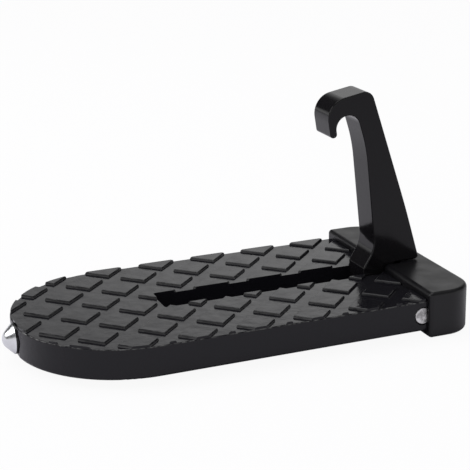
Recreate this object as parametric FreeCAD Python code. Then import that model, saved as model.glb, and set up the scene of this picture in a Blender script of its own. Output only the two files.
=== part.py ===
"""Folding car door step: a cast tread plate whose hook hangs on the door latch striker."""
import FreeCAD, Part
import math
import os

os.makedirs("parts", exist_ok=True)
V = FreeCAD.Vector

# Plate: x runs from the nose to the car, y across, z up from the plate's underside. Millimetres.
overall_length = 160.0      # nose of the plate to the back of the bumper
plate_width = 80.0
plate_thickness = 12.0      # underside to the tops of the tread diamonds
tread_height = 0.85
top_edge_radius = 0.45      # where the tread floor meets the side
bottom_edge_radius = 1.0
tail_corner_radius = 7.0
nose_flat = 0.4             # the nose is faced this deep, as a seat for the glass breaker

# Raised square tread, turned 45 degrees to the plate.
tread_pitch = 15.0          # centre to centre along the side of a square
diamond_side = 10.5
diamond_draft = 0.32        # the wall leans in by this much from foot to top
diamond_edge_break = 0.2
tread_anchor_x = 34.0       # a diamond has its lower corner here, on the centre line
tread_to_bumper = 0.4
tread_to_rim = 0.25         # the squares stop this far inside the outline of the plate

# Slot that the folded hook lies in.
slot_width = 13.5
slot_reach = 85.6           # from the pin to the slot's front end
slot_corner_radius = 1.0

# Cored underside.
pocket_depth = 6.0
pocket_corner_radius = 2.5
rim_wall = 5.0
slot_wall = 5.0
rib_width = 3.5
rib_pitch = 17.0
first_pocket_x = 12.0
hinge_block = 11.5          # solid metal in front of the pin

# Hinge.
pin_to_back = 21.0          # from the pin to the back of the bumper
pin_height = 5.8
pin_diameter = 6.8
pin_recess = 0.2            # each end lies this far below the plate's side
pin_chamfer = 0.5
press_clearance = 0.01
running_clearance = 0.05
stop_gap = 0.2              # left at both ends of the hook's travel
washer_thickness = 0.4

# Hook, measured from the pin: x towards the car, z up, hook standing.
hook_width = 12.5
hook_edge_radius = 0.5
hub_radius = 5.6
foot_reach = 6.3            # the flat foot runs forward of the pin to here
foot_radius = 1.2
toe = (-6.65, 8.1)          # edge of the toe, just above the tread
toe_radius = 0.6
instep = (-2.04, 15.6)      # where the arm's front runs into the toe
instep_radius = 12.0
front_bend_z = 54.8         # the arm's front leans more above this height
front_bend_radius = 60.0
heel_radius = 1.2
heel_root_radius = 1.5
back_bend = (10.93, 29.45)
back_bend_radius = 400.0
heel_lean = 16.0
crown_back = (-4.15, 76.0)
crown_back_radius = 4.0
crown_front = (-22.45, 72.7)
crown_front_radius = 7.5
beak_lean = 9.0
beak_length = 13.5
beak_tip_radius = 1.3
notch_centre = (-13.35, 62.65)
notch_radius = 4.7
notch_back_lean = 17.0

# Rubber bumper pushed over the plate's tail.
bumper_length = 19.4
bumper_back_wall = 6.2
bumper_side_wall = 2.1
bumper_rise = 2.6           # above the tread
bumper_drop = 2.5           # below the plate's underside
bumper_corner_radius = 11.0
bumper_edge_radius = 1.5
bumper_slip = 0.05
bumper_notch_width = 15.0
bumper_notch_depth = 7.6
bumper_notch_radius = 2.0

# Hardened glass breaker screwed into the nose.
breaker_diameter = 10.9
breaker_height = 4.5        # seat to point
breaker_point_radius = 4.0
breaker_collar = 0.7
breaker_shank_diameter = 6.0
breaker_shank_length = 10.0
breaker_hole_spare = 1.0

half_width = plate_width / 2.0
floor_height = plate_thickness - tread_height
tail_end = overall_length - bumper_back_wall
bumper_front = overall_length - bumper_length
bumper_top = plate_thickness + bumper_rise
pin_x = overall_length - pin_to_back
slot_front_x = pin_x - slot_reach
slot_back_x = pin_x + hub_radius + stop_gap
washer_radius = hub_radius + stop_gap - slot_corner_radius
heel_height = bumper_top + stop_gap - pin_height
breaker_point_x = nose_flat - breaker_height

# The frame's origin lies under the middle of the whole object, on the ground.
FRAME = V(-(breaker_point_x + overall_length) / 2.0, 0, bumper_drop)


def extrude(wire, bottom, top):
    face = Part.Face(wire)
    face.translate(V(0, 0, bottom - wire.BoundBox.ZMin))
    return face.extrude(V(0, 0, top - bottom))


def rounded_box(x0, x1, y0, y1, z0, z1, radius):
    """A block with its four upright edges rounded."""
    block = Part.makeBox(x1 - x0, y1 - y0, z1 - z0, V(x0, y0, z0))
    return block.makeFillet(radius, upright_edges(block))


def upright_edges(shape):
    found = []
    for edge in shape.Edges:
        ends = [v.Point for v in edge.Vertexes]
        if len(ends) == 2 and abs(ends[0].x - ends[1].x) + abs(ends[0].y - ends[1].y) < 1e-6:
            found.append(edge)
    return found


def level_edges(shape, height):
    return [e for e in shape.Edges if abs(e.BoundBox.ZMin - height) + abs(e.BoundBox.ZMax - height) < 1e-6]


def plate_outline(grow):
    """Round nose with a small flat, straight sides, tail with small corners; offset outwards by grow."""
    half = half_width + grow
    end = tail_end + grow
    corner = tail_corner_radius + grow
    centre = half_width
    flat_x = nose_flat - grow
    flat_y = math.sqrt(half ** 2 - (centre - flat_x) ** 2)
    cheek = half * math.sqrt(0.5)
    far_nose = Part.Arc(V(centre, half, 0), V(centre - cheek, cheek, 0), V(flat_x, flat_y, 0)).toShape()
    near_nose = Part.Arc(V(flat_x, -flat_y, 0), V(centre - cheek, -cheek, 0), V(centre, -half, 0)).toShape()
    turn = corner * math.sqrt(0.5)
    near = Part.Arc(V(end - corner, -half, 0), V(end - corner + turn, -half + corner - turn, 0),
                    V(end, -half + corner, 0)).toShape()
    far = Part.Arc(V(end, half - corner, 0), V(end - corner + turn, half - corner + turn, 0),
                   V(end - corner, half, 0)).toShape()
    sides = [Part.makeLine(V(flat_x, flat_y, 0), V(flat_x, -flat_y, 0)),
             Part.makeLine(V(centre, -half, 0), V(end - corner, -half, 0)),
             Part.makeLine(V(end, -half + corner, 0), V(end, half - corner, 0)),
             Part.makeLine(V(end - corner, half, 0), V(centre, half, 0))]
    return Part.Wire(Part.__sortEdges__([far_nose, near_nose, near, far] + sides))


def diamond(x, y):
    """One tread square, corner towards the nose, drafted walls and a broken top edge."""
    foot = diamond_side / 2.0
    top = foot - diamond_draft
    root = floor_height - tread_height / 2.0
    solid = Part.makeWedge(-foot, 0, -foot, -top, -top, foot, plate_thickness - root, foot, top, top)
    solid.rotate(V(0, 0, 0), V(1, 0, 0), 90)
    solid.rotate(V(0, 0, 0), V(0, 0, 1), 45)
    solid.translate(V(x, y, root))
    return solid.makeChamfer(diamond_edge_break, level_edges(solid, plate_thickness))


def tread():
    step = tread_pitch * math.sqrt(0.5)
    lower_corner = diamond_side * math.sqrt(0.5)
    columns = int(overall_length / step) + 2
    rows = int(half_width / step) + 2
    squares = []
    for column in range(-columns, columns):
        for row in range(-rows, rows):
            x = tread_anchor_x + column * step
            y = lower_corner + row * step
            near_enough = math.hypot(min(x - half_width, 0), y) < half_width + lower_corner
            if (column + row) % 2 == 0 and near_enough and x < bumper_front + lower_corner:
                squares.append(diamond(x, y))
    return Part.makeCompound(squares)


def pockets():
    """Cored pockets under each side, between the rim, the slot's wall and the cross ribs."""
    spine = slot_width / 2.0 + slot_wall
    inner = Part.Face(plate_outline(-rim_wall))
    last_x = pin_x - hinge_block
    made = []
    for side in (-1, 1):
        x = first_pocket_x
        while x + rib_pitch - rib_width <= last_x + 1e-6:
            y0 = spine if side > 0 else -half_width
            cell = Part.makePlane(rib_pitch - rib_width, half_width - spine, V(x, y0, 0))
            floor = cell.common(inner).Faces[0]
            floor = floor.makeOffset2D(-pocket_corner_radius).makeOffset2D(pocket_corner_radius)
            made.append(floor.extrude(V(0, 0, pocket_depth)))
            x += rib_pitch
    return made


def step_plate():
    body = extrude(plate_outline(0), 0, floor_height)
    body = body.makeFillet(bottom_edge_radius, level_edges(body, 0))
    body = body.makeFillet(top_edge_radius, level_edges(body, floor_height))
    tread_field = extrude(plate_outline(-tread_to_rim), 0, plate_thickness)
    under_bumper = Part.makeBox(overall_length, 2 * plate_width, 2 * plate_thickness,
                                V(bumper_front - tread_to_bumper, -plate_width, -plate_thickness / 2.0))
    body = body.fuse(tread().common(tread_field).cut(under_bumper).Solids)
    slot = rounded_box(slot_front_x, slot_back_x, -slot_width / 2.0, slot_width / 2.0,
                       -1, plate_thickness + 1, slot_corner_radius)
    bore = Part.makeCylinder(pin_diameter / 2.0 + press_clearance, plate_width + 2,
                             V(pin_x, -half_width - 1, pin_height), V(0, 1, 0))
    hole = Part.makeCylinder(breaker_shank_diameter / 2.0 + press_clearance,
                             breaker_shank_length + breaker_hole_spare,
                             V(nose_flat, 0, pin_height), V(1, 0, 0))
    body = body.cut([slot, bore, hole] + pockets())
    return body.removeSplitter().Solids[0]


def rounded_run(points):
    """Edges of an open run of straight lines; each inner corner (x, z, radius) is rounded."""
    edges = []
    start = V(points[0][0], 0, points[0][1])
    for before, here, after in zip(points, points[1:], points[2:]):
        corner = V(here[0], 0, here[1])
        back = (V(before[0], 0, before[1]) - corner).normalize()
        ahead = (V(after[0], 0, after[1]) - corner).normalize()
        half_angle = back.getAngle(ahead) / 2.0
        reach = here[2] / math.tan(half_angle)
        middle = (back + ahead).normalize() * (here[2] / math.sin(half_angle) - here[2])
        enter = corner + back * reach
        leave = corner + ahead * reach
        edges.append(Part.makeLine(start, enter))
        edges.append(Part.Arc(enter, corner + middle, leave).toShape())
        start = leave
    edges.append(Part.makeLine(start, V(points[-1][0], 0, points[-1][1])))
    return edges


def lean(degrees):
    """Sideways run for each unit of height of a line that leans this far from upright."""
    return math.tan(math.radians(degrees))


def hook_outline():
    """Outline of the hook from the side, with the pin at the origin."""
    nx, nz = notch_centre
    front = math.radians(beak_lean)
    back = math.radians(notch_back_lean)
    seat_front = (nx - notch_radius * math.cos(front), nz - notch_radius * math.sin(front))
    seat_back = (nx + notch_radius * math.cos(back), nz + notch_radius * math.sin(back))
    front_bend = (seat_back[0] + (seat_back[1] - front_bend_z) * lean(notch_back_lean), front_bend_z)
    heel = (back_bend[0] + (back_bend[1] - heel_height) * lean(heel_lean), heel_height)
    tip_outer = (crown_front[0] + beak_length * math.sin(front),
                 crown_front[1] - beak_length * math.cos(front))
    along = ((seat_front[0] - tip_outer[0]) * math.sin(front)
             - (seat_front[1] - tip_outer[1]) * math.cos(front))
    tip_inner = (seat_front[0] - along * math.sin(front), seat_front[1] + along * math.cos(front))
    run = [seat_back,
           front_bend + (front_bend_radius,),
           instep + (instep_radius,),
           toe + (toe_radius,),
           (-foot_reach, -hub_radius, foot_radius),
           (hub_radius, -hub_radius, hub_radius),
           (hub_radius, heel_height, heel_root_radius),
           heel + (heel_radius,),
           back_bend + (back_bend_radius,),
           crown_back + (crown_back_radius,),
           crown_front + (crown_front_radius,),
           tip_outer + (beak_tip_radius,),
           tip_inner + (beak_tip_radius,),
           seat_front]
    seat = Part.Arc(V(seat_front[0], 0, seat_front[1]), V(nx, 0, nz + notch_radius),
                    V(seat_back[0], 0, seat_back[1])).toShape()
    return Part.Wire(rounded_run(run) + [seat])


def hook_arm():
    face = Part.Face(hook_outline())
    face.translate(V(0, -hook_width / 2.0, 0))
    solid = face.extrude(V(0, hook_width, 0))
    rims = [e for e in solid.Edges if abs(e.BoundBox.YMax - e.BoundBox.YMin) < 1e-6]
    solid = solid.makeFillet(hook_edge_radius, rims)
    bore = Part.makeCylinder(pin_diameter / 2.0 + running_clearance, hook_width + 2,
                             V(0, -hook_width / 2.0 - 1, 0), V(0, 1, 0))
    solid = solid.cut(bore).Solids[0]
    solid.translate(V(pin_x, 0, pin_height))
    return solid


def hinge_pin():
    length = plate_width - 2 * pin_recess
    rod = Part.makeCylinder(pin_diameter / 2.0, length, V(pin_x, -length / 2.0, pin_height), V(0, 1, 0))
    ends = [e for e in rod.Edges if abs(e.BoundBox.YMax - e.BoundBox.YMin) < 1e-6]
    return rod.makeChamfer(pin_chamfer, ends)


def hinge_washer(side):
    gap = slot_width / 2.0 - hook_width / 2.0
    y0 = hook_width / 2.0 + (gap - washer_thickness) / 2.0
    if side < 0:
        y0 = -y0 - washer_thickness
    ring = Part.makeCylinder(washer_radius, washer_thickness, V(pin_x, y0, pin_height), V(0, 1, 0))
    return ring.cut(Part.makeCylinder(pin_diameter / 2.0 + running_clearance, washer_thickness,
                                      V(pin_x, y0, pin_height), V(0, 1, 0)))


def bumper():
    """Rubber cap: outer block with round rear corners, pocket for the tail, notch for the hook."""
    half = half_width + bumper_side_wall
    block = Part.makeBox(bumper_length, 2 * half, bumper_top + bumper_drop,
                         V(bumper_front, -half, -bumper_drop))
    rear = [e for e in upright_edges(block) if e.BoundBox.XMin > bumper_front + 1]
    block = block.makeFillet(bumper_corner_radius, rear)
    rim = level_edges(block, bumper_top) + level_edges(block, -bumper_drop)
    front = [e for e in upright_edges(block) if e.BoundBox.XMax < bumper_front + 1]
    block = block.makeFillet(bumper_edge_radius, rim + front)
    pocket = extrude(plate_outline(bumper_slip), -bumper_slip, floor_height + bumper_slip)
    pocket = pocket.makeFillet(bottom_edge_radius, level_edges(pocket, -bumper_slip))
    pocket = pocket.makeFillet(top_edge_radius, level_edges(pocket, floor_height + bumper_slip))
    notch = rounded_box(bumper_front - bumper_notch_depth, bumper_front + bumper_notch_depth,
                        -bumper_notch_width / 2.0, bumper_notch_width / 2.0,
                        -bumper_drop - 1, bumper_top + 1, bumper_notch_radius)
    return block.cut([pocket, notch]).Solids[0]


def glass_breaker():
    """Turned in one piece: blunt point, cone, short collar and screwed shank."""
    base = breaker_diameter / 2.0
    shank = breaker_shank_diameter / 2.0
    point = breaker_point_radius
    centre_x = point - breaker_height
    tip = V(-breaker_height, 0, 0)
    span = math.hypot(-breaker_collar - centre_x, base)
    turn = math.atan2(base, -breaker_collar - centre_x) + math.acos(point / span)
    touch = V(centre_x + point * math.cos(turn), point * math.sin(turn), 0)
    half_turn = (turn + math.pi) / 2.0
    middle = V(centre_x + point * math.cos(half_turn), point * math.sin(half_turn), 0)
    corners = [touch, V(-breaker_collar, base, 0), V(0, base, 0), V(0, shank, 0),
               V(breaker_shank_length, shank, 0), V(breaker_shank_length, 0, 0), tip]
    edges = [Part.Arc(tip, middle, touch).toShape()]
    for a, b in zip(corners, corners[1:]):
        edges.append(Part.makeLine(a, b))
    body = Part.Face(Part.Wire(edges)).revolve(V(0, 0, 0), V(1, 0, 0), 360)
    body.translate(V(nose_flat, 0, pin_height))
    return body


nodes = {
    "step_plate": step_plate(),
    "hook_arm": hook_arm(),
    "hinge_pin": hinge_pin(),
    "hinge_washer_near": hinge_washer(-1),
    "hinge_washer_far": hinge_washer(1),
    "bumper": bumper(),
    "glass_breaker": glass_breaker(),
}

for name, shape in nodes.items():
    shape.translate(FRAME)
    shape.exportStep("parts/" + name + ".step")
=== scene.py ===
import bpy
import math
from mathutils import Matrix, Vector


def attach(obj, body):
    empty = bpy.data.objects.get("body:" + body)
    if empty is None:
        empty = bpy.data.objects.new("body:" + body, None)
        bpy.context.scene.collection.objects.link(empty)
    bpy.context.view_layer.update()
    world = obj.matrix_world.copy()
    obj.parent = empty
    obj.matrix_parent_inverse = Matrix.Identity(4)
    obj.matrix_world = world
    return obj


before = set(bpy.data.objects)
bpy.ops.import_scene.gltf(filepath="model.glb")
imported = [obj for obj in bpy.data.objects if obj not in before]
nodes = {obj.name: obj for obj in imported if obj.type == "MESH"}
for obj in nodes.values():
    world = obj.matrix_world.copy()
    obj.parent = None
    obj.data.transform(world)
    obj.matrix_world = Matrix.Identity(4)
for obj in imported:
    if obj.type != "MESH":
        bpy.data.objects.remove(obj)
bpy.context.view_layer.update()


# Step plate: pressure die-cast aluminium, cast in one with its raised tread squares, slot and bores.
# It is sprayed with gloss black enamel. Painted highlights run in broken lengths along the top edges of the
# squares and along the rim, and the walls of the squares are painted lighter ahead of the hinge as painted
# light.
def new_finish(name):
    """An empty procedural material: its node tree, its shader and its object coordinates."""
    material = bpy.data.materials.new(name)
    material.use_nodes = True
    tree = material.node_tree
    place = tree.nodes.new("ShaderNodeTexCoord").outputs["Object"]
    return material, tree, tree.nodes["Principled BSDF"], place


def paint_solid(name, material):
    """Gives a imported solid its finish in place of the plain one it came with."""
    mesh = nodes[name].data
    mesh.materials.clear()
    mesh.materials.append(material)


def axes_of(tree, vector):
    """The three coordinates of a vector."""
    split = tree.nodes.new("ShaderNodeSeparateXYZ")
    tree.links.new(vector, split.inputs["Vector"])
    return split.outputs["X"], split.outputs["Y"], split.outputs["Z"]


def centred(tree, place, centre, turn=0.0):
    """Coordinates that start at a centre on the piece and are turned about the upright."""
    mapping = tree.nodes.new("ShaderNodeMapping")
    mapping.vector_type = "TEXTURE"
    mapping.inputs["Location"].default_value = centre
    mapping.inputs["Rotation"].default_value = (0.0, 0.0, turn)
    tree.links.new(place, mapping.inputs["Vector"])
    return mapping.outputs["Vector"]


def reckon(tree, operation, first, second):
    """One sum on two values, each a socket or a number."""
    node = tree.nodes.new("ShaderNodeMath")
    node.operation = operation
    for value, socket in zip((first, second), node.inputs):
        if isinstance(value, (int, float)):
            socket.default_value = value
        else:
            tree.links.new(value, socket)
    return node.outputs["Value"]


def between(tree, value, start, end, low, high):
    """Maps a value from start..end to low..high and holds it there beyond."""
    ramp = tree.nodes.new("ShaderNodeMapRange")
    sockets = ("From Min", "From Max", "To Min", "To Max")
    for socket, number in zip(sockets, (start, end, low, high)):
        ramp.inputs[socket].default_value = number
    tree.links.new(value, ramp.inputs["Value"])
    return ramp.outputs["Result"]


def rising(tree, value, start, end):
    """Share that goes from 0 to 1 between start and end."""
    return between(tree, value, start, end, 0.0, 1.0)


def falling(tree, value, start, end):
    """Share that goes from 1 to 0 between start and end."""
    return between(tree, value, start, end, 1.0, 0.0)


def all_of(tree, first, *others):
    """Share that is 1 only where each of the given shares is 1."""
    product = first
    for share in others:
        product = reckon(tree, "MULTIPLY", product, share)
    return product


def mottle(tree, place, size, detail):
    """Cloudy variation between 0 and 1 with patches of the given size in metres."""
    noise = tree.nodes.new("ShaderNodeTexNoise")
    noise.inputs["Scale"].default_value = 1.0 / size
    noise.inputs["Detail"].default_value = detail
    tree.links.new(place, noise.inputs["Vector"])
    return noise.outputs["Fac"]


def cloudy(tree, place, size, detail, low, high):
    """Cloudy variation between low and high with patches of the given size in metres."""
    thin_cloud, full_cloud = 0.3, 0.7
    return between(tree, mottle(tree, place, size, detail), thin_cloud, full_cloud, low, high)


def relief(tree, shader, height, depth, strength):
    """Turns a height between 0 and 1 into bumps of the given depth in metres."""
    bump = tree.nodes.new("ShaderNodeBump")
    bump.inputs["Strength"].default_value = strength
    bump.inputs["Distance"].default_value = depth
    tree.links.new(height, bump.inputs["Height"])
    tree.links.new(bump.outputs["Normal"], shader.inputs["Normal"])


def blend_colour(tree, shader, share, plain, other):
    """Base colour from plain to other as share goes from 0 to 1; plain may be a colour so made."""
    mix = tree.nodes.new("ShaderNodeMixRGB")
    if isinstance(plain, tuple):
        mix.inputs["Color1"].default_value = plain + (1.0,)
    else:
        tree.links.new(plain, mix.inputs["Color1"])
    mix.inputs["Color2"].default_value = other + (1.0,)
    tree.links.new(share, mix.inputs["Fac"])
    tree.links.new(mix.outputs["Color"], shader.inputs["Base Color"])
    return mix.outputs["Color"]


tread_pitch = 0.015
square_centre = (-0.04395, 0.0074246, 0.0)
square_turn = math.radians(45.0)
square_half = 0.00494
square_top = 0.0145
rim_height = 0.01365
nose_centre_x = -0.03795
nose_radius = 0.040
enamel_black = (0.0074, 0.0071, 0.0092)
# the four greys below are painted light: the first two on the walls of the squares, the last two as
# highlights on the top edges and the rim
wall_lit_grey = (0.034, 0.0336, 0.0352)
foot_lit_grey = (0.10, 0.099, 0.102)
edge_glint_grey = (0.034, 0.034, 0.035)
rim_glint_grey = (0.10, 0.10, 0.10)
plate_enamel, tree, shader, place = new_finish("plate_enamel")
shader.inputs["IOR"].default_value = 1.32
x, y, height = axes_of(tree, place)

# distance outwards from the top edge of the nearest square
across, along, _ = axes_of(tree, centred(tree, place, square_centre, square_turn))
outwards = reckon(tree, "MAXIMUM", reckon(tree, "PINGPONG", across, tread_pitch / 2.0),
                  reckon(tree, "PINGPONG", along, tread_pitch / 2.0))
past_edge = reckon(tree, "SUBTRACT", outwards, square_half)

# painted highlight along the top edges of the squares, in broken lengths; the band is also made rougher
glint_band = (0.00012, 0.00045)
glint_depth = (square_top - 0.0004, square_top - 0.0002)
glint_break_size, glint_break_range = 0.0035, (0.42, 0.62)
edge_glint = all_of(tree, falling(tree, reckon(tree, "ABSOLUTE", past_edge, 0.0), *glint_band),
                    rising(tree, height, *glint_depth),
                    rising(tree, mottle(tree, place, glint_break_size, 3.0), *glint_break_range))

# painted light: the walls of the squares painted lighter, lightest at their feet, running out before the
# hinge
wall_start = (0.00002, 0.00010)
foot_start = (0.00010, 0.00028)
floor_line = (rim_height + 0.00001, rim_height + 0.00005)
lit_wall_end = (0.020, 0.042)
lit_wall_share = all_of(tree, rising(tree, past_edge, *wall_start), rising(tree, height, *floor_line),
                    falling(tree, x, *lit_wall_end))
lit_foot_share = all_of(tree, lit_wall_share, rising(tree, past_edge, *foot_start))

# painted highlight: a light grey line in broken lengths along the rim
rim_line = (nose_radius - 0.00045, nose_radius - 0.00020)
rim_glint_bottom = (rim_height - 0.00040, rim_height - 0.00015)
rim_glint_top = (rim_height - 0.00005, rim_height + 0.00005)
rim_break_size, rim_break_range = 0.0022, (0.44, 0.60)
before_nose = reckon(tree, "MINIMUM", reckon(tree, "SUBTRACT", x, nose_centre_x), 0.0)
squared = reckon(tree, "ADD", reckon(tree, "POWER", before_nose, 2.0), reckon(tree, "POWER", y, 2.0))
from_middle = reckon(tree, "SQRT", squared, 0.0)
rim_glint = all_of(tree, rising(tree, from_middle, *rim_line), rising(tree, height, *rim_glint_bottom),
                 falling(tree, height, *rim_glint_top),
                 rising(tree, mottle(tree, place, rim_break_size, 4.0), *rim_break_range))

# painted light on the walls of the squares, then painted highlights on their top edges and on the rim, over
# the black enamel
enamel = blend_colour(tree, shader, lit_wall_share, enamel_black, wall_lit_grey)
enamel = blend_colour(tree, shader, lit_foot_share, enamel, foot_lit_grey)
enamel = blend_colour(tree, shader, edge_glint, enamel, edge_glint_grey)
blend_colour(tree, shader, rim_glint, enamel, rim_glint_grey)

# gloss that varies in clouds, and a wet coat that sagged a little before it dried
glint_band_roughness = 0.15
coat_roughness = cloudy(tree, place, 0.005, 4.0, 0.09, 0.21)
tree.links.new(reckon(tree, "ADD", coat_roughness, reckon(tree, "MULTIPLY", edge_glint, glint_band_roughness)),
               shader.inputs["Roughness"])
sag_size, sag_share, grain_size = 0.0048, 3.0, 0.0014
sag = reckon(tree, "MULTIPLY", mottle(tree, place, sag_size, 3.0), sag_share)
grain = mottle(tree, place, grain_size, 2.0)
relief(tree, shader, reckon(tree, "ADD", sag, grain), depth=0.00005, strength=0.55)
paint_solid("step_plate", plate_enamel)

# Ejector marks: round pads that the ejector pins of the die leave on the underside, along the plate's rim
# and along both walls of the slot. They are part of the casting and carry the same enamel.
mark_rows = 5
mark_pitch = 0.017
mark_diameter = 0.0032
mark_sides = 40
mark_rise = 0.00012
mark_sunk = 0.0003
mark_depth = mark_rise + mark_sunk
first_mark_x = -0.0167
middle_mark_x = first_mark_x + (mark_rows - 1) * mark_pitch / 2.0
underside = 0.0025
rim_half = 0.0370
slot_wall_half = 0.00925
marks = bpy.data.node_groups.new("ejector_marks", "GeometryNodeTree")
for label, kind in (("Rows", "NodeSocketInt"), ("Pitch", "NodeSocketFloat"), ("Diameter", "NodeSocketFloat"),
                    ("Rim width", "NodeSocketFloat"), ("Slot wall width", "NodeSocketFloat")):
    marks.interface.new_socket(label, in_out="INPUT", socket_type=kind)
marks.interface.new_socket("Geometry", in_out="OUTPUT", socket_type="NodeSocketGeometry")
given = marks.nodes.new("NodeGroupInput")
gaps = reckon(marks, "SUBTRACT", given.outputs["Rows"], 1.0)
length = reckon(marks, "MULTIPLY", gaps, given.outputs["Pitch"])
spots = marks.nodes.new("GeometryNodeJoinGeometry")
for width in ("Rim width", "Slot wall width"):
    grid = marks.nodes.new("GeometryNodeMeshGrid")
    grid.inputs["Vertices Y"].default_value = 2
    marks.links.new(given.outputs["Rows"], grid.inputs["Vertices X"])
    marks.links.new(length, grid.inputs["Size X"])
    marks.links.new(given.outputs[width], grid.inputs["Size Y"])
    marks.links.new(grid.outputs["Mesh"], spots.inputs["Geometry"])
pad = marks.nodes.new("GeometryNodeMeshCylinder")
pad.inputs["Vertices"].default_value = mark_sides
pad.inputs["Depth"].default_value = mark_depth
marks.links.new(reckon(marks, "MULTIPLY", given.outputs["Diameter"], 0.5), pad.inputs["Radius"])
stamp = marks.nodes.new("GeometryNodeInstanceOnPoints")
marks.links.new(spots.outputs["Geometry"], stamp.inputs["Points"])
marks.links.new(pad.outputs["Mesh"], stamp.inputs["Instance"])
set_place = marks.nodes.new("GeometryNodeTransform")
set_place.inputs["Translation"].default_value = (middle_mark_x, 0.0, underside - mark_rise + mark_depth / 2.0)
marks.links.new(stamp.outputs["Instances"], set_place.inputs["Geometry"])
solid = marks.nodes.new("GeometryNodeRealizeInstances")
marks.links.new(set_place.outputs["Geometry"], solid.inputs["Geometry"])
coat = marks.nodes.new("GeometryNodeSetMaterial")
coat.inputs["Material"].default_value = plate_enamel
marks.links.new(solid.outputs["Geometry"], coat.inputs["Geometry"])
marks.links.new(coat.outputs["Geometry"], marks.nodes.new("NodeGroupOutput").inputs["Geometry"])


def grow(name, nodes_tree, values):
    """Runs a geometry tree on an empty object with the values given, and keeps a plain mesh of it."""
    seed = bpy.data.objects.new(name + "_seed", bpy.data.meshes.new(name + "_seed"))
    bpy.context.scene.collection.objects.link(seed)
    modifier = seed.modifiers.new(name, "NODES")
    modifier.node_group = nodes_tree
    for socket in nodes_tree.interface.items_tree:
        if socket.in_out == "INPUT":
            modifier[socket.identifier] = values[socket.name]
    grown = seed.evaluated_get(bpy.context.evaluated_depsgraph_get())
    mesh = bpy.data.meshes.new_from_object(grown)
    seed.modifiers.remove(modifier)
    bpy.data.objects.remove(seed)
    piece = bpy.data.objects.new(name, mesh)
    bpy.context.scene.collection.objects.link(piece)
    return piece


ejector_marks = grow("ejector_marks", marks, {
    "Rows": mark_rows, "Pitch": mark_pitch, "Diameter": mark_diameter,
    "Rim width": 2.0 * rim_half, "Slot wall width": 2.0 * slot_wall_half})
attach(ejector_marks, "step")

# Hook arm: forged steel with ground faces, stove enamelled black to a deeper gloss than the casting.
# It turns on the hinge pin between the slot's walls.
stove_black = (0.0046, 0.0044, 0.0058)
stove_brown = (0.0062, 0.0055, 0.0060)
hook_enamel, tree, shader, place = new_finish("hook_enamel")
shader.inputs["IOR"].default_value = 1.30
blend_colour(tree, shader, mottle(tree, place, 0.02, 2.0), stove_black, stove_brown)
tree.links.new(cloudy(tree, place, 0.008, 3.0, 0.09, 0.15), shader.inputs["Roughness"])
relief(tree, shader, mottle(tree, place, 0.0025, 1.0), depth=0.00005, strength=0.25)
paint_solid("hook_arm", hook_enamel)

# Hinge pin: drawn steel rod, its ends faced in the lathe and left bare, scuffed by the driving in.
# It is pressed through the plate from side to side, and the hook turns on its middle.
pin_axis = (0.06105, 0.0, 0.0083)
scuff_size, scuff_range = 0.0016, (0.40, 0.60)
scuffed_steel = (0.30, 0.297, 0.295)
faced_steel = (0.66, 0.655, 0.65)
lathe_rings = 700.0
pin_steel, tree, shader, place = new_finish("pin_steel")
shader.inputs["Metallic"].default_value = 1.0
faced = rising(tree, mottle(tree, place, scuff_size, 3.0), *scuff_range)
blend_colour(tree, shader, faced, scuffed_steel, faced_steel)
tree.links.new(cloudy(tree, place, 0.0010, 2.0, 0.20, 0.36), shader.inputs["Roughness"])
rings = tree.nodes.new("ShaderNodeTexWave")
rings.wave_type = "RINGS"
rings.rings_direction = "Y"
rings.inputs["Scale"].default_value = lathe_rings
tree.links.new(centred(tree, place, pin_axis), rings.inputs["Vector"])
relief(tree, shader, rings.outputs["Fac"], depth=0.00004, strength=0.6)
paint_solid("hinge_pin", pin_steel)

# Hinge washers: two thin black nylon rings, stamped from sheet and threaded on the hinge pin.
# They keep the hook off the slot's walls and give the hinge its drag.
nylon_black = (0.025, 0.025, 0.025)
nylon_grey = (0.035, 0.035, 0.034)
washer_nylon, tree, shader, place = new_finish("washer_nylon")
blend_colour(tree, shader, mottle(tree, place, 0.002, 2.0), nylon_black, nylon_grey)
tree.links.new(cloudy(tree, place, 0.0015, 2.0, 0.40, 0.55), shader.inputs["Roughness"])
paint_solid("hinge_washer_near", washer_nylon)
paint_solid("hinge_washer_far", washer_nylon)

# Bumper: one moulding of black rubber with a fine dull grain, notched for the root of the hook.
# It is stretched over the plate's tail, to spare the car's paint.
rubber_black = (0.0040, 0.0038, 0.0050)
rubber_bloom = (0.0058, 0.0056, 0.0068)
bumper_rubber, tree, shader, place = new_finish("bumper_rubber")
shader.inputs["IOR"].default_value = 1.36
blend_colour(tree, shader, mottle(tree, place, 0.012, 4.0), rubber_black, rubber_bloom)
tree.links.new(cloudy(tree, place, 0.008, 4.0, 0.30, 0.42), shader.inputs["Roughness"])
relief(tree, shader, mottle(tree, place, 0.00045, 2.0), depth=0.00004, strength=0.35)
paint_solid("bumper", bumper_rubber)

# Glass breaker: hardened steel turned to a blunt point, nickel plated, screwed into the faced nose.
# Its collar is left unplated and near black, and stands out as a dark ring behind the cone.
collar_edge = -0.07825
plating_line = (collar_edge - 0.00005, collar_edge + 0.00005)
collar_black = (0.004, 0.004, 0.004)
nickel = (0.73, 0.74, 0.76)
breaker_nickel, tree, shader, place = new_finish("breaker_nickel")
x, y, height = axes_of(tree, place)
plated = falling(tree, x, *plating_line)
tree.links.new(plated, shader.inputs["Metallic"])
sheen = cloudy(tree, place, 0.002, 3.0, 0.9, 1.0)
blend_colour(tree, shader, all_of(tree, plated, sheen), collar_black, nickel)
tree.links.new(cloudy(tree, place, 0.0015, 3.0, 0.17, 0.27), shader.inputs["Roughness"])
paint_solid("glass_breaker", breaker_nickel)

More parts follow.
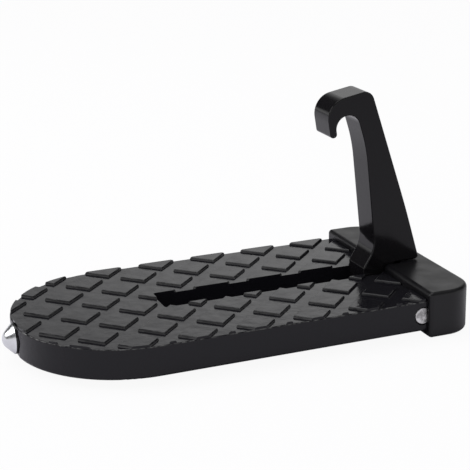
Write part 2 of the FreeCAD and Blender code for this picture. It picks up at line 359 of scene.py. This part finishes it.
# Floor: a wide white sweep of matt board under the step, which takes the step's soft shadow.
# To the camera it is lit up almost to plain white.
floor_half = 4.0
floor_drop = -0.0004
floor_pale = (0.80, 0.785, 0.84)
lit_share = 0.93
corners = [(across * floor_half, along * floor_half, floor_drop)
           for across, along in ((-1, -1), (1, -1), (1, 1), (-1, 1))]
floor_mesh = bpy.data.meshes.new("floor")
floor_mesh.from_pydata(corners, [], [(0, 1, 2, 3)])
floor = bpy.data.objects.new("floor", floor_mesh)
bpy.context.scene.collection.objects.link(floor)
floor_white = bpy.data.materials.new("floor_white")
floor_white.use_nodes = True
tree = floor_white.node_tree
tree.nodes.remove(tree.nodes["Principled BSDF"])
matt = tree.nodes.new("ShaderNodeBsdfDiffuse")
matt.inputs["Color"].default_value = floor_pale + (1.0,)
glow = tree.nodes.new("ShaderNodeEmission")
glow.inputs["Color"].default_value = (1.0, 1.0, 1.0, 1.0)
path = tree.nodes.new("ShaderNodeLightPath")
mix = tree.nodes.new("ShaderNodeMixShader")
tree.links.new(reckon(tree, "MULTIPLY", path.outputs["Is Camera Ray"], lit_share), mix.inputs["Fac"])
tree.links.new(matt.outputs["BSDF"], mix.inputs[1])
tree.links.new(glow.outputs["Emission"], mix.inputs[2])
tree.links.new(mix.outputs["Shader"], tree.nodes["Material Output"].inputs["Surface"])
floor_mesh.materials.append(floor_white)

# Studio: a low white skirt round the table, a white board in front, and four tall white panels with dark
# gaps between them, under a dim ceiling. The gloss shows these; the rest is lit evenly and by two soft boxes.
panel_count = 4.0
first_panel = math.radians(28.0)
panel_edge = (-0.50, 1.0)
panel_head = (0.36, 0.56)
panel_foot, foot_level = (0.18, 0.31), 0.42
skirt_top = (0.05, 0.13)
board_side, board_top = (-0.35, -0.15), (0.30, 0.45)
ceiling_edge, ceiling_level = (0.62, 0.80), 0.30
dark_level, white_level = 0.05, 1.08
even_level = 0.62
world = bpy.data.worlds.new("studio")
bpy.context.scene.world = world
world.use_nodes = True
tree = world.node_tree
x, y, height = axes_of(tree, tree.nodes.new("ShaderNodeTexCoord").outputs["Generated"])
bearing = reckon(tree, "ARCTAN2", x, y)
turned = reckon(tree, "SUBTRACT", reckon(tree, "MULTIPLY", bearing, panel_count), panel_count * first_panel)
panels = all_of(tree, rising(tree, reckon(tree, "COSINE", turned, 0.0), *panel_edge),
                falling(tree, height, *panel_head), between(tree, height, *panel_foot, foot_level, 1.0))
skirt = falling(tree, height, *skirt_top)
board = all_of(tree, falling(tree, y, *board_side), falling(tree, height, *board_top))
ceiling = between(tree, height, *ceiling_edge, 0.0, ceiling_level)
walls = reckon(tree, "MAXIMUM", reckon(tree, "MAXIMUM", panels, ceiling),
               reckon(tree, "MAXIMUM", skirt, board))
path = tree.nodes.new("ShaderNodeLightPath")
shiny = reckon(tree, "MAXIMUM", path.outputs["Is Glossy Ray"], path.outputs["Is Transmission Ray"])
level = tree.nodes.new("ShaderNodeMix")
level.inputs["A"].default_value = even_level
tree.links.new(shiny, level.inputs["Factor"])
tree.links.new(between(tree, walls, 0.0, 1.0, dark_level, white_level), level.inputs["B"])
backdrop = tree.nodes["Background"]
backdrop.inputs["Color"].default_value = (1.0, 1.0, 1.0, 1.0)
tree.links.new(reckon(tree, "MAXIMUM", level.outputs["Result"], path.outputs["Is Camera Ray"]),
               backdrop.inputs["Strength"])


def soft_box(name, spot, target, size, power):
    """A lamp behind a square of white cloth, turned to its target."""
    lamp = bpy.data.lights.new(name, "AREA")
    lamp.shape = "RECTANGLE"
    lamp.size, lamp.size_y = size
    lamp.energy = power
    box = bpy.data.objects.new(name, lamp)
    box.location = spot
    box.rotation_euler = (Vector(target) - Vector(spot)).to_track_quat("-Z", "Y").to_euler()
    bpy.context.scene.collection.objects.link(box)


soft_box("overhead_box", spot=(-0.05, 0.25, 1.10), target=(0.0, 0.0, 0.0), size=(0.8, 0.6), power=3.8)
soft_box("left_box", spot=(-0.75, 0.30, 0.55), target=(-0.08, 0.0, 0.0), size=(0.5, 0.5), power=3.0)

# Camera: a long lens off the near side of the nose, a little above the tread and leaning by a degree.
# Its place, turn and focal length were found from the square lattice of the tread.
frame_width = 470.0
focal_length = 1414.5
aim = Vector((0.0285, 0.0581, 0.0145))
distance = 0.5775
azimuth, elevation, roll = (math.radians(angle) for angle in (21.77, 17.81, -1.0))
ahead = Vector((math.sin(azimuth) * math.cos(elevation), math.cos(azimuth) * math.cos(elevation),
                -math.sin(elevation)))
right = Vector((math.cos(azimuth), -math.sin(azimuth), 0.0))
up = right.cross(ahead)
level_axis = math.cos(roll) * right + math.sin(roll) * up
upright_axis = math.cos(roll) * up - math.sin(roll) * right
lens = bpy.data.cameras.new("camera")
lens.sensor_width = 36.0
lens.lens = lens.sensor_width * focal_length / frame_width
lens.clip_start = 0.01
camera = bpy.data.objects.new("camera", lens)
facing = Matrix((level_axis, upright_axis, -ahead)).transposed().to_4x4()
camera.matrix_world = Matrix.Translation(aim - distance * ahead) @ facing
bpy.context.scene.collection.objects.link(camera)
bpy.context.scene.camera = camera
bpy.context.scene.view_settings.view_transform = "Standard"
